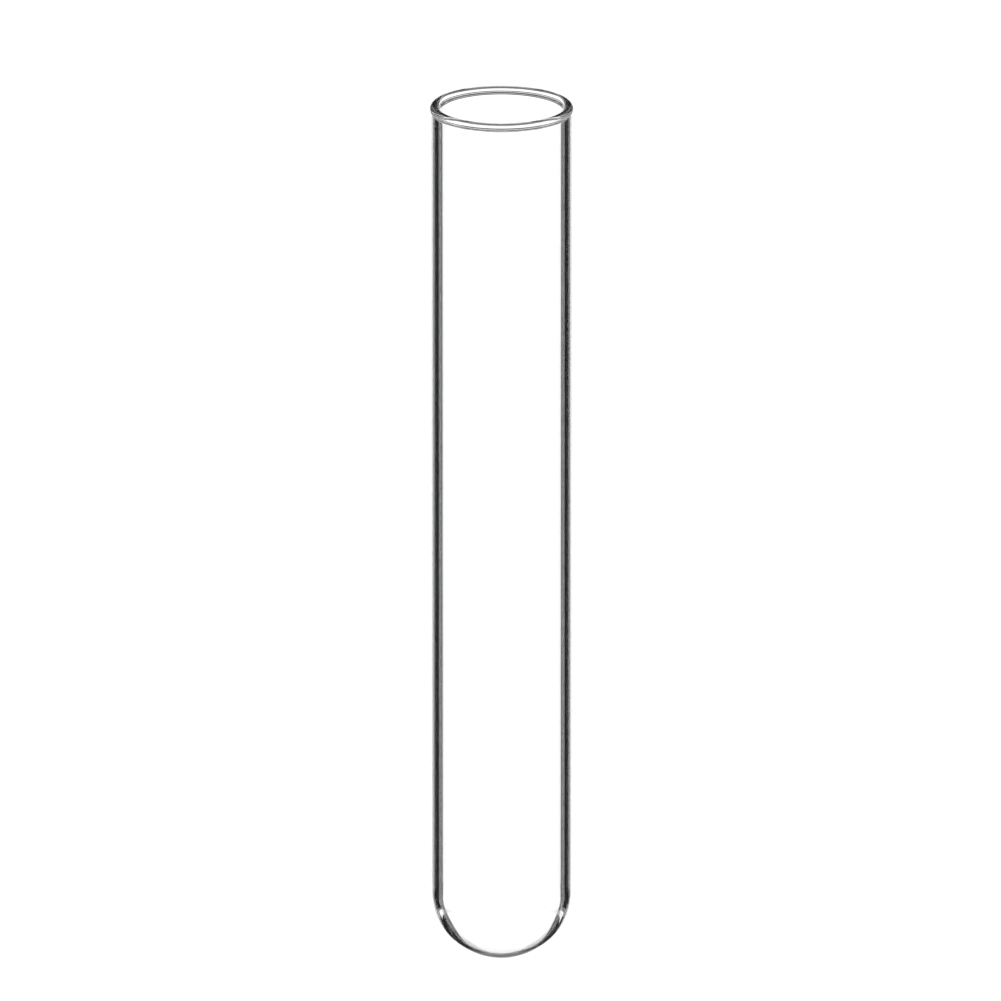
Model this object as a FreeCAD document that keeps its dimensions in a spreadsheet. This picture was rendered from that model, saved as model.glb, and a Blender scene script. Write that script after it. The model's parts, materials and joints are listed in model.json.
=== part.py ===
"""Round-bottomed test tube, 16 x 100 mm class, drawn in one piece of borosilicate glass.

Units are millimetres. The tube stands on +Z: the outside of the round bottom touches z = 0 at the origin
and the mouth opens upwards. Every length comes from the Sizes sheet.
"""
import FreeCAD, Part
import math
import os

import Sketcher

SIZES = (
    # alias, millimetres, meaning
    ("outer_diameter", 15.8, "outside diameter of the straight wall"),
    ("overall_length", 100.0, "outside of the round bottom to the top of the rim bead"),
    ("wall_thickness", 0.8, "thickness of the straight wall"),
    ("bottom_thickness", 0.55, "glass under the lowest point of the bore"),
    ("bead_overhang", 0.13, "how far the rim bead stands proud of the outside wall"),
    ("bead_inset", 0.08, "how far the rim bead stands proud of the bore, narrowing the mouth"),
    ("hollow_radius", 0.3, "radius of the hollow where the outside wall flows into the bead"),
    ("throat_radius", 2.0, "radius of the hollow where the bore flows into the bead"),
)

doc = FreeCAD.newDocument("TestTube")

sheet = doc.addObject("Spreadsheet::Sheet", "Sizes")
for row, (alias, value, meaning) in enumerate(SIZES, start=1):
    sheet.set(f"A{row}", alias)
    sheet.set(f"B{row}", str(value))
    sheet.set(f"C{row}", meaning)
    sheet.setAlias(f"B{row}", alias)
doc.recompute()

body = doc.addObject("PartDesign::Body", "GlassTube")
body.Label = "glass_tube"
body.Placement = FreeCAD.Placement()


def origin_feature(role):
    """Return the plane or axis of the body's own origin that has this role."""
    return next(f for f in body.Origin.OriginFeatures if f.Role == role)


# Starting guesses for the half section; the constraints below give the exact shape.
size = {alias: value for alias, value, _ in SIZES}
outer_r = size["outer_diameter"] / 2
inner_r = outer_r - size["wall_thickness"]
bead_r = (size["wall_thickness"] + size["bead_overhang"] + size["bead_inset"]) / 2
bead_x, bead_y = outer_r + size["bead_overhang"] - bead_r, size["overall_length"] - bead_r
hollow_r = size["hollow_radius"]
hollow_x = outer_r + hollow_r
hollow_y = bead_y - math.sqrt((bead_r + hollow_r) ** 2 - (hollow_x - bead_x) ** 2)
hollow_touch = math.atan2(bead_y - hollow_y, bead_x - hollow_x)
throat_r = size["throat_radius"]
throat_x = inner_r - throat_r
throat_y = bead_y - math.sqrt((bead_r + throat_r) ** 2 - (bead_x - throat_x) ** 2)
throat_touch = math.atan2(bead_y - throat_y, bead_x - throat_x)
bore_y = size["bottom_thickness"] + inner_r


def point(x, y):
    return FreeCAD.Vector(x, y, 0)


def arc(x, y, radius, start, end):
    """Arc of a circle about (x, y), counter-clockwise between two angles in radians."""
    return Part.ArcOfCircle(Part.Circle(point(x, y), FreeCAD.Vector(0, 0, 1), radius), start, end)


def line(x1, y1, x2, y2):
    return Part.LineSegment(point(x1, y1), point(x2, y2))


profile = body.newObject("Sketcher::SketchObject", "HalfSection")
profile.AttachmentSupport = (origin_feature("XZ_Plane"), [""])
profile.MapMode = "FlatFace"

quarter = math.pi / 2
outer_bottom = profile.addGeometry(arc(0, outer_r, outer_r, -quarter, 0))
outer_wall = profile.addGeometry(line(outer_r, outer_r, outer_r, hollow_y))
hollow = profile.addGeometry(arc(hollow_x, hollow_y, hollow_r, hollow_touch, math.pi))
bead = profile.addGeometry(arc(bead_x, bead_y, bead_r, hollow_touch - math.pi, throat_touch + math.pi))
throat = profile.addGeometry(arc(throat_x, throat_y, throat_r, 0, throat_touch))
inner_wall = profile.addGeometry(line(inner_r, throat_y, inner_r, bore_y))
inner_bottom = profile.addGeometry(arc(0, bore_y, inner_r, -quarter, 0))
axis_edge = profile.addGeometry(line(0, size["bottom_thickness"], 0, 0))

ORIGIN, Y_AXIS = (-1, 1), -2
START, END, CENTRE = 1, 2, 3


def bind(kind, *where):
    """Add one constraint and return its index."""
    return profile.addConstraint(Sketcher.Constraint(kind, *where))


def bind_size(name, expression, kind, *where):
    """Add one dimension, name it and let the Sizes sheet drive it."""
    index = bind(kind, *where)
    profile.renameConstraint(index, name)
    profile.setExpression(f"Constraints.{name}", expression)


# Smooth joins all the way round the section, each line or arc tangent to the next.
bind("Tangent", outer_bottom, END, outer_wall, START)
bind("Tangent", outer_wall, END, hollow, END)
bind("Tangent", hollow, START, bead, START)
bind("Tangent", bead, END, throat, END)
bind("Tangent", throat, START, inner_wall, START)
bind("Tangent", inner_wall, END, inner_bottom, END)
bind("Coincident", inner_bottom, START, axis_edge, START)
bind("Coincident", axis_edge, END, outer_bottom, START)

# Both round bottoms are centred on the tube's axis, and the walls run parallel to it.
bind("Coincident", outer_bottom, START, *ORIGIN)
bind("PointOnObject", outer_bottom, CENTRE, Y_AXIS)
bind("PointOnObject", inner_bottom, CENTRE, Y_AXIS)
bind("PointOnObject", inner_bottom, START, Y_AXIS)
bind("Vertical", outer_wall)
bind("Vertical", inner_wall)

bind_size("OuterRadius", "Sizes.outer_diameter / 2", "Radius", outer_bottom, outer_r)
bind_size("BoreRadius", "Sizes.outer_diameter / 2 - Sizes.wall_thickness", "Radius", inner_bottom, inner_r)
bind_size("BottomGlass", "Sizes.bottom_thickness", "DistanceY",
          *ORIGIN, inner_bottom, START, size["bottom_thickness"])
BEAD_R = "(Sizes.wall_thickness + Sizes.bead_overhang + Sizes.bead_inset) / 2"
bind_size("BeadRadius", BEAD_R, "Radius", bead, bead_r)
bind_size("BeadReach", f"Sizes.outer_diameter / 2 + Sizes.bead_overhang - {BEAD_R}",
          "DistanceX", *ORIGIN, bead, CENTRE, bead_x)
bind_size("BeadHeight", f"Sizes.overall_length - {BEAD_R}", "DistanceY", *ORIGIN, bead, CENTRE, bead_y)
bind_size("HollowRadius", "Sizes.hollow_radius", "Radius", hollow, hollow_r)
bind_size("ThroatRadius", "Sizes.throat_radius", "Radius", throat, throat_r)

tube = body.newObject("PartDesign::Revolution", "DrawnTube")
tube.Profile = profile
tube.ReferenceAxis = (profile, ["V_Axis"])
tube.Angle = 360
body.Tip = tube
doc.recompute()

for item in doc.Objects:
    if {"Invalid", "Error"} & set(item.State):
        raise RuntimeError(f"{item.Name} did not compute: {item.State}")
if not profile.FullyConstrained:
    raise RuntimeError("the half section is not fully constrained")
for item in (tube, body):
    if item.Shape.isNull() or not item.Shape.isValid() or len(item.Shape.Solids) != 1:
        raise RuntimeError(f"{item.Name} is not one valid solid")

os.makedirs("parts", exist_ok=True)
body.Shape.exportStep("parts/glass_tube.step")
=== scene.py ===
import json
import math

import bpy
import numpy as np
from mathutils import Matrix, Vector


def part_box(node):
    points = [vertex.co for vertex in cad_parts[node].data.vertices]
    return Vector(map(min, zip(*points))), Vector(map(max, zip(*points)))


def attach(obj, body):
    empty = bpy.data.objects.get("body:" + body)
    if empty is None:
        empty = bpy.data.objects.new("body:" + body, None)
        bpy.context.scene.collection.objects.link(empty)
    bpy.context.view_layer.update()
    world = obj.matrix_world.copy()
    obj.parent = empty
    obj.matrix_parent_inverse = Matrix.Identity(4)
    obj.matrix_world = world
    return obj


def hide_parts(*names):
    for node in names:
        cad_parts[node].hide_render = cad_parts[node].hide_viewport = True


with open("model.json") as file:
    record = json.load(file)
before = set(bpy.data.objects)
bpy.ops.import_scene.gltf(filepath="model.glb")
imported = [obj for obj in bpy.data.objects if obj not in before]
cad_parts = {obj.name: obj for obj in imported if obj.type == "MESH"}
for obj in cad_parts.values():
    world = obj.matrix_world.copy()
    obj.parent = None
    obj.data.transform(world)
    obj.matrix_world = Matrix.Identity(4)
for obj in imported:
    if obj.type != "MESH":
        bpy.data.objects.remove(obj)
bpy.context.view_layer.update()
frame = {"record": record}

# ---------------------------------------------------------------- sizes of the tube, in metres

rim_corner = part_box("glass_tube")[1]
mounts = {mount["name"]: mount["dims"] for mount in frame["record"]["mounts"]}
WALL_R = mounts["outside_wall"]["r_mm"] / 1000
BORE_R = mounts["mouth_bore"]["r_mm"] / 1000
BEAD_INSET = 0.00008  # how far the bead stands proud of the bore
THROAT_R = 0.002  # radius of the hollow where the bore flows into the bead
BEAD_R = (rim_corner.x - BORE_R + BEAD_INSET) / 2
BEAD_X, BEAD_Z = rim_corner.x - BEAD_R, rim_corner.z - BEAD_R
WALL_TOP_Z = WALL_R + mounts["outside_wall"]["length_mm"] / 1000
BORE_TOP_Z = BEAD_Z - math.sqrt((BEAD_R + THROAT_R) ** 2 - (BEAD_X - BORE_R + THROAT_R) ** 2)
BORE_FOOT_Z = BORE_TOP_Z - mounts["mouth_bore"]["length_mm"] / 1000

# How finely the surface is drawn: points around each ring, and rings on each curved run.
AROUND = 720
HOLLOW_RINGS, BEAD_RINGS, THROAT_RINGS, BOTTOM_RINGS = 9, 38, 14, 34
CLOSE_RING = 0.0002  # a straight run has a ring this far from each of its ends

# Small faults of a tube made in the flame.
OFF_CENTRE = 0.000008  # the bore's axis lies this far to the +x side of the outside's
TWO_LOBE_WAVER, THREE_LOBE_WAVER = 0.000012, 0.000006  # how far the rim rises and falls
WAVER_FOOT_Z, WAVER_RISE = 0.097, 0.0025  # the waver starts here and is full this much higher
OUTER_SWELLS = (
    # degrees from the pole, width, metres, lobes, share, turn
    (0, 14, 0.00002, 0, 0, 0),
    (58, 20, 0.00009, 1, 0.15, 180),
)
INNER_SWELLS = (
    (0, 10, -0.00004, 2, 0.3, 20),
    (50, 18, 0.00005, 2, 0.5, 130),
)


# ---------------------------------------------------------------- shape of the tube

def arc(x, z, radius, start, end, count):
    """Points of a circle about (x, z) from one angle to the other, both ends included."""
    a = np.linspace(start, end, count)
    return x + radius * np.cos(a), z + radius * np.sin(a)


def section():
    """Half section of the tube as one path: up the outside wall, through the hollow under the bead, over the
    bead, through the throat and down the bore. Straight runs are lines and the rest are arcs of circles that
    touch each other, in (radius, height). A straight run has a point close to each end, so that its shading
    stays straight up to there. Both round bottoms are left to round_bottom()."""
    rise, inset = BEAD_Z - WALL_TOP_Z, WALL_R - BEAD_X
    hollow_r = (rise ** 2 - BEAD_R ** 2 + inset ** 2) / (2 * (BEAD_R + BEAD_X - WALL_R))
    hollow_end = math.atan2(rise, BEAD_X - WALL_R - hollow_r)
    throat_end = math.atan2(BEAD_Z - BORE_TOP_Z, BEAD_X - BORE_R + THROAT_R)
    wall = np.full(3, WALL_R), [WALL_R, WALL_R + CLOSE_RING, WALL_TOP_Z - CLOSE_RING]
    hollow = arc(WALL_R + hollow_r, WALL_TOP_Z, hollow_r, math.pi, hollow_end, HOLLOW_RINGS)
    bead = arc(BEAD_X, BEAD_Z, BEAD_R, hollow_end - math.pi, throat_end + math.pi, BEAD_RINGS)
    throat = arc(BORE_R - THROAT_R, BORE_TOP_Z, THROAT_R, throat_end, 0, THROAT_RINGS)
    bore = np.full(3, BORE_R), [BORE_TOP_Z - CLOSE_RING, BORE_FOOT_Z + CLOSE_RING, BORE_FOOT_Z]
    runs = [wall, hollow, [v[1:] for v in bead], [v[1:] for v in throat], bore]
    return np.concatenate([r for r, _ in runs]), np.concatenate([z for _, z in runs])


def swell(polar, angle, at, width, amount, lobes, share, turn):
    """A smooth ring-shaped swelling: a bell curve of the angle from the pole, centred on `at` and `width`
    degrees wide, times one plus a share of a cosine that runs `lobes` times around. It fades to nothing where
    the bottom meets the wall, as one less the eighth power of the share of the way up."""
    bell = np.exp(-((np.degrees(polar) - at) / width) ** 2) * (1 - (np.degrees(polar) / 90) ** 8)
    return amount * bell * (1 + share * np.cos(lobes * angle + math.radians(turn)))


def round_bottom(radius, centre_z, swells):
    """Half a sphere below centre_z as a grid of polar angle and angle around, its radius changed by a few
    shallow swellings left by closing the hot glass by hand. Rings run from next to the pole to the wall."""
    polar = np.linspace(0, math.pi / 2, BOTTOM_RINGS + 1)[:, None]
    angle = np.linspace(0, 2 * math.pi, AROUND, endpoint=False)[None, :]
    r = radius + sum(swell(polar, angle, *s) for s in swells)
    pole_z = centre_z - r[0].mean()
    return (r * np.sin(polar))[1:], (centre_z - r * np.cos(polar))[1:], pole_z


def tube_rings():
    """Rings of points from next to the outside's pole, up the wall, over the bead and down to next to the
    inside's pole, with the two poles. The half section is carried around the axis. The rim's height wavers on
    its way around, and the waver fades in below it as the square of the share of the way up. The outside
    bottom is moved, less and less towards the wall, so that its lowest point rests at height zero. Across
    the bead the rings shift sideways, from the outside's centre to the bore's."""
    angle = np.linspace(0, 2 * math.pi, AROUND, endpoint=False)
    r, z = section()
    height = np.repeat(z[:, None], AROUND, 1)
    radius = np.repeat(r[:, None], AROUND, 1)
    waver = (TWO_LOBE_WAVER * (np.cos(2 * angle + 0.7) - 1)
             + THREE_LOBE_WAVER * (np.cos(3 * angle - 0.4) - 1))
    height = height + waver * np.clip((height - WAVER_FOOT_Z) / WAVER_RISE, 0, 1) ** 2
    out_r, out_z, out_pole_z = round_bottom(WALL_R, WALL_R, OUTER_SWELLS)
    in_r, in_z, in_pole_z = round_bottom(BORE_R, BORE_FOOT_Z, INNER_SWELLS)
    lowest = min(out_pole_z, out_z.min())
    out_z = out_z - lowest * (1 - out_z / WALL_R)
    radius = np.concatenate([out_r[:-1], radius, in_r[-2::-1]])
    height = np.concatenate([out_z[:-1], height, in_z[-2::-1]])
    inside = np.clip((BEAD_X - r) / (BEAD_X - BORE_R), 0, 1)
    inside = np.concatenate([np.zeros(BOTTOM_RINGS - 1), inside, np.ones(BOTTOM_RINGS - 1)])
    x, y = radius * np.cos(angle) + OFF_CENTRE * inside[:, None], radius * np.sin(angle)
    return np.stack([x, y, height], -1), (0, 0, out_pole_z - lowest), (OFF_CENTRE, 0, in_pole_z)


def closed_surface(name, rings, first_pole, last_pole):
    """One smooth mesh object: each ring is joined to the next by four-sided faces, and a fan of triangles
    closes each end at its pole."""
    count, around = rings.shape[:2]
    points = np.concatenate([rings.reshape(-1, 3), [first_pole, last_pole]])
    here = np.arange(around)
    after = (here + 1) % around
    ring = around * np.arange(count - 1)[:, None]
    quads = np.stack([ring + here, ring + after, ring + around + after, ring + around + here], -1)
    last = around * (count - 1)
    first_fan = np.stack([np.full(around, around * count), after, here], -1)
    last_fan = np.stack([np.full(around, around * count + 1), last + here, last + after], -1)
    corners = np.concatenate([quads.ravel(), first_fan.ravel(), last_fan.ravel()])
    triangle_corners = np.arange(0, first_fan.size + last_fan.size, 3)
    starts = np.concatenate([np.arange(0, quads.size, 4), quads.size + triangle_corners])
    mesh = bpy.data.meshes.new(name)
    mesh.vertices.add(len(points))
    mesh.vertices.foreach_set("co", points.astype(np.float32).ravel())
    mesh.loops.add(len(corners))
    mesh.loops.foreach_set("vertex_index", corners.astype(np.int32))
    mesh.polygons.add(len(starts))
    mesh.polygons.foreach_set("loop_start", starts.astype(np.int32))
    mesh.polygons.foreach_set("use_smooth", np.ones(len(starts), bool))
    mesh.update(calc_edges=True)
    mesh.validate()
    piece = bpy.data.objects.new(name, mesh)
    bpy.context.scene.collection.objects.link(piece)
    return piece


# ---------------------------------------------------------------- glass

class Nodes:
    """Short names for building a node tree."""

    def __init__(self, owner):
        owner.use_nodes = True
        self.tree = owner.node_tree
        self.tree.nodes.clear()

    def add(self, kind, **settings):
        """Add one node and set its plain settings."""
        node = self.tree.nodes.new(kind)
        for name, value in settings.items():
            setattr(node, name, value)
        return node

    def feed(self, value, socket):
        """Link an output to the socket, or set a plain number or colour on it."""
        if isinstance(value, bpy.types.NodeSocket):
            self.tree.links.new(value, socket)
        else:
            socket.default_value = value

    def maths(self, operation, *values):
        """Do one step of arithmetic on outputs or numbers and return its output."""
        node = self.add("ShaderNodeMath", operation=operation)
        for value, socket in zip(values, node.inputs):
            self.feed(value, socket)
        return node.outputs[0]


def borosilicate():
    """Clear borosilicate glass. Fine lines run up the tube where it was drawn, faint waves cross them, the
    polish varies a little, and the glass has a trace of grey-green in its depth."""
    material = bpy.data.materials.new("borosilicate_glass")
    n = Nodes(material)
    place = n.add("ShaderNodeTexCoord").outputs["Object"]
    out = n.add("ShaderNodeOutputMaterial")
    shader = n.add("ShaderNodeBsdfPrincipled")

    def noise(stretch, scale, detail):
        """Cloudy pattern from 0 to 1, drawn out along the tube where the last stretch is small."""
        mapping = n.add("ShaderNodeMapping")
        n.feed(place, mapping.inputs["Vector"])
        mapping.inputs["Scale"].default_value = stretch
        node = n.add("ShaderNodeTexNoise")
        n.feed(mapping.outputs[0], node.inputs["Vector"])
        node.inputs["Scale"].default_value = scale
        node.inputs["Detail"].default_value = detail
        return node.outputs["Fac"]

    drawn_lines = noise(stretch=(1, 1, 0.012), scale=900, detail=2)
    waves = noise(stretch=(1, 1, 0.6), scale=160, detail=1)
    polish = noise(stretch=(1, 1, 0.25), scale=420, detail=3)
    relief = n.maths("ADD", n.maths("MULTIPLY", drawn_lines, 0.55), n.maths("MULTIPLY", waves, 0.45))
    bump = n.add("ShaderNodeBump")
    n.feed(0.05, bump.inputs["Strength"])
    n.feed(0.00002, bump.inputs["Distance"])
    n.feed(relief, bump.inputs["Height"])
    n.feed(bump.outputs[0], shader.inputs["Normal"])
    tint = n.add("ShaderNodeMix", data_type="RGBA")
    share, faint_green, clear = tint.inputs[0], tint.inputs[6], tint.inputs[7]
    n.feed(drawn_lines, share)
    n.feed((0.992, 0.997, 0.995, 1), faint_green)
    n.feed((1, 1, 1, 1), clear)
    n.feed(tint.outputs[2], shader.inputs["Base Color"])
    n.feed(n.maths("MULTIPLY", polish, 0.008), shader.inputs["Roughness"])
    n.feed(1.473, shader.inputs["IOR"])
    n.feed(1.0, shader.inputs["Transmission Weight"])
    depth = n.add("ShaderNodeVolumeAbsorption")
    n.feed((0.86, 0.95, 0.91, 1), depth.inputs["Color"])
    n.feed(4.0, depth.inputs["Density"])
    n.feed(shader.outputs[0], out.inputs["Surface"])
    n.feed(depth.outputs[0], out.inputs["Volume"])
    return material


tube = closed_surface("drawn_tube", *tube_rings())
tube.data.materials.append(borosilicate())
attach(tube, "root")
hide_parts("glass_tube")


# ---------------------------------------------------------------- floor, light and camera

FLOOR_HALF_WIDTH, FLOOR_Z = 6.0, -0.0002
FLOOR_GLOW = 1.05


def plain_floor():
    """A flat square that glows evenly. Only the camera sees it, so it puts no light on the glass."""
    mesh = bpy.data.meshes.new("floor")
    s, z = FLOOR_HALF_WIDTH, FLOOR_Z
    mesh.from_pydata([(-s, -s, z), (s, -s, z), (s, s, z), (-s, s, z)], [], [(0, 1, 2, 3)])
    floor = bpy.data.objects.new("floor", mesh)
    bpy.context.scene.collection.objects.link(floor)
    material = bpy.data.materials.new("pale_floor")
    n = Nodes(material)
    glow = n.add("ShaderNodeEmission")
    n.feed((1, 1, 1, 1), glow.inputs["Color"])
    n.feed(FLOOR_GLOW, glow.inputs["Strength"])
    n.feed(glow.outputs[0], n.add("ShaderNodeOutputMaterial").inputs["Surface"])
    floor.data.materials.append(material)
    floor.visible_transmission = False
    floor.visible_glossy = False
    floor.visible_diffuse = False
    floor.visible_shadow = False


# The light tent around the tube, drawn as patches laid over each other in this order. Each has its sides in
# degrees of azimuth, counted from straight behind the tube and the same on the left and the right, its lower
# and upper edge in degrees above the horizon, and its strength. The windows in the dark bands keep the inside
# of the tube clear from the other sides named.
TENT = (
    ("white tent", 0, 180, -90, 90, 1.3),
    ("white floor under the tube", 0, 30, -90, -60, 1.1),
    ("ceiling behind", 0, 30, 35, 90, 0.8),
    ("black surround", 0, 60, -60, -12, 0.02),
    ("grey shoulders", 15.5, 60, -12, 15, 0.7),
    ("bright window", 0, 15.5, -32, -12, 1.45),
    ("dark strip under the window", 0, 15.5, -60, -32, 0.2),
    ("black card over the window", 0, 15.5, -12, 35, 0.1),
    ("black band, seen from 25 degrees up", 15.5, 105, -27.2, -23.6, 0.03),
    ("window in it", 30.5, 59.5, -27.2, -23.6, 1.5),
    ("black wings in front", 105, 180, -50, 25, 0.05),
    ("window in them", 120.5, 149.5, -30, -12.5, 1.5),
    ("white strip through them", 105, 180, -17.9, -16, 1.3),
    ("black band, seen level", 15.5, 75, -6, 0, 0.03),
    ("window behind, seen level", 0, 14.5, -5, -1, 1.5),
    ("window at the side, seen level", 75.5, 104.5, -8, 2, 1.6),
)
SOFT_EDGE = 0.3  # degrees on each side of a patch's edge


def studio_light():
    """The tent as the light of the world, patch over patch, with an even glow where the camera looks past
    the tube."""
    world = bpy.data.worlds.new("studio")
    bpy.context.scene.world = world
    n = Nodes(world)
    split = n.add("ShaderNodeSeparateXYZ")
    n.feed(n.add("ShaderNodeTexCoord").outputs["Generated"], split.inputs[0])
    x, y, z = split.outputs
    aside = n.maths("ABSOLUTE", n.maths("DEGREES", n.maths("ARCTAN2", x, y)))
    up = n.maths("DEGREES", n.maths("ARCSINE", z))

    def step(value, edge):
        """Soft step from 0 to 1 as the value passes the edge."""
        node = n.add("ShaderNodeMapRange", interpolation_type="SMOOTHSTEP")
        n.feed(value, node.inputs["Value"])
        n.feed(edge - SOFT_EDGE, node.inputs["From Min"])
        n.feed(edge + SOFT_EDGE, node.inputs["From Max"])
        return node.outputs["Result"]

    *_, light = TENT[0]
    for _, near_side, far_side, low_edge, high_edge, strength in TENT[1:]:
        from_side = near_side if near_side else -1
        across = n.maths("SUBTRACT", step(aside, from_side), step(aside, far_side))
        along = n.maths("SUBTRACT", step(up, low_edge), step(up, high_edge))
        patch = n.add("ShaderNodeMix", data_type="FLOAT")
        share, under, over = patch.inputs[0], patch.inputs[2], patch.inputs[3]
        n.feed(n.maths("MULTIPLY", across, along), share)
        n.feed(light, under)
        n.feed(strength, over)
        light = patch.outputs[0]
    seen = n.maths("MULTIPLY", n.add("ShaderNodeLightPath").outputs["Is Camera Ray"], FLOOR_GLOW)
    back = n.add("ShaderNodeBackground")
    n.feed(n.maths("MAXIMUM", light, seen), back.inputs["Strength"])
    n.feed(back.outputs[0], n.add("ShaderNodeOutputWorld").inputs["Surface"])


def camera():
    """A long lens in front of the tube, 16.8 degrees above level."""
    data = bpy.data.cameras.new("camera")
    data.lens, data.sensor_width = 1500, 36
    data.clip_start, data.clip_end = 0.1, 100
    eye = bpy.data.objects.new("camera", data)
    bpy.context.scene.collection.objects.link(eye)
    elevation, distance = math.radians(16.8), 4.69
    aim = Vector((-0.00012, 0, 0.0536))
    back = Vector((0, -math.cos(elevation), math.sin(elevation)))
    eye.location = aim + back * distance
    eye.rotation_mode = "QUATERNION"
    eye.rotation_quaternion = (-back).to_track_quat("-Z", "Y")
    bpy.context.scene.camera = eye


plain_floor()
studio_light()
camera()
scene = bpy.context.scene
scene.view_settings.view_transform = "Standard"
MOST_BOUNCES = 32  # a ray along the wall meets many glass faces
scene.cycles.max_bounces = MOST_BOUNCES
scene.cycles.transmission_bounces = MOST_BOUNCES
scene.cycles.glossy_bounces = MOST_BOUNCES
